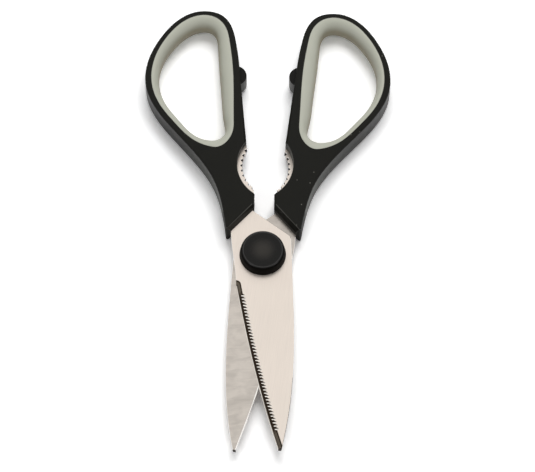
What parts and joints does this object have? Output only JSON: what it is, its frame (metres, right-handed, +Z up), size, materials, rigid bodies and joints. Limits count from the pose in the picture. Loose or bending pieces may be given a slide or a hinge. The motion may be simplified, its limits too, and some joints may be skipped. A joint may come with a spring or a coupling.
{
  "type": "kitchen shears",
  "caption": "Kitchen shears with soft-lined loop handles, a toothed nutcracker between the arms, a capped pivot, a serrated upper blade and a plain lower blade.",
  "frame": {"origin": "on the pivot axis, at the flat face of the back cap on which the shears rest", "axes": "+Z up along the pivot axis, out of the front cap; +Y from the pivot to the handles along the shears' middle; the blades' tips point along -Y"},
  "size_m": [0.1092, 0.211, 0.0127],
  "materials": {
    "blade_steel": "finely ground along the blade, with a darker ground bevel",
    "handle_plastic": "fine matt texture",
    "grip_rubber": "smooth satin soft plastic, grey with a green tint",
    "bumper_rubber": "matt",
    "cap_plastic": "satin",
    "pivot_steel": "plain turned steel"
  },
  "bodies": {
    "lower_half": {"lower_blade": "blade_steel", "lower_handle": "handle_plastic", "lower_grip": "grip_rubber", "lower_bumper": "bumper_rubber", "pivot_screw": "pivot_steel", "pivot_nut": "pivot_steel", "pivot_washer": "pivot_steel", "front_cap": "cap_plastic", "back_cap": "cap_plastic"},
    "upper_half": {"upper_blade": "blade_steel", "upper_handle": "handle_plastic", "upper_grip": "grip_rubber", "upper_bumper": "bumper_rubber"}
  },
  "joints": [
    {"name": "blade_pivot", "type": "hinge", "parent": "lower_half", "child": "upper_half", "pos_m": [0, 0, 0.0054], "axis": [0, 0, 1], "range_deg": [-12, 73]}
  ]
}
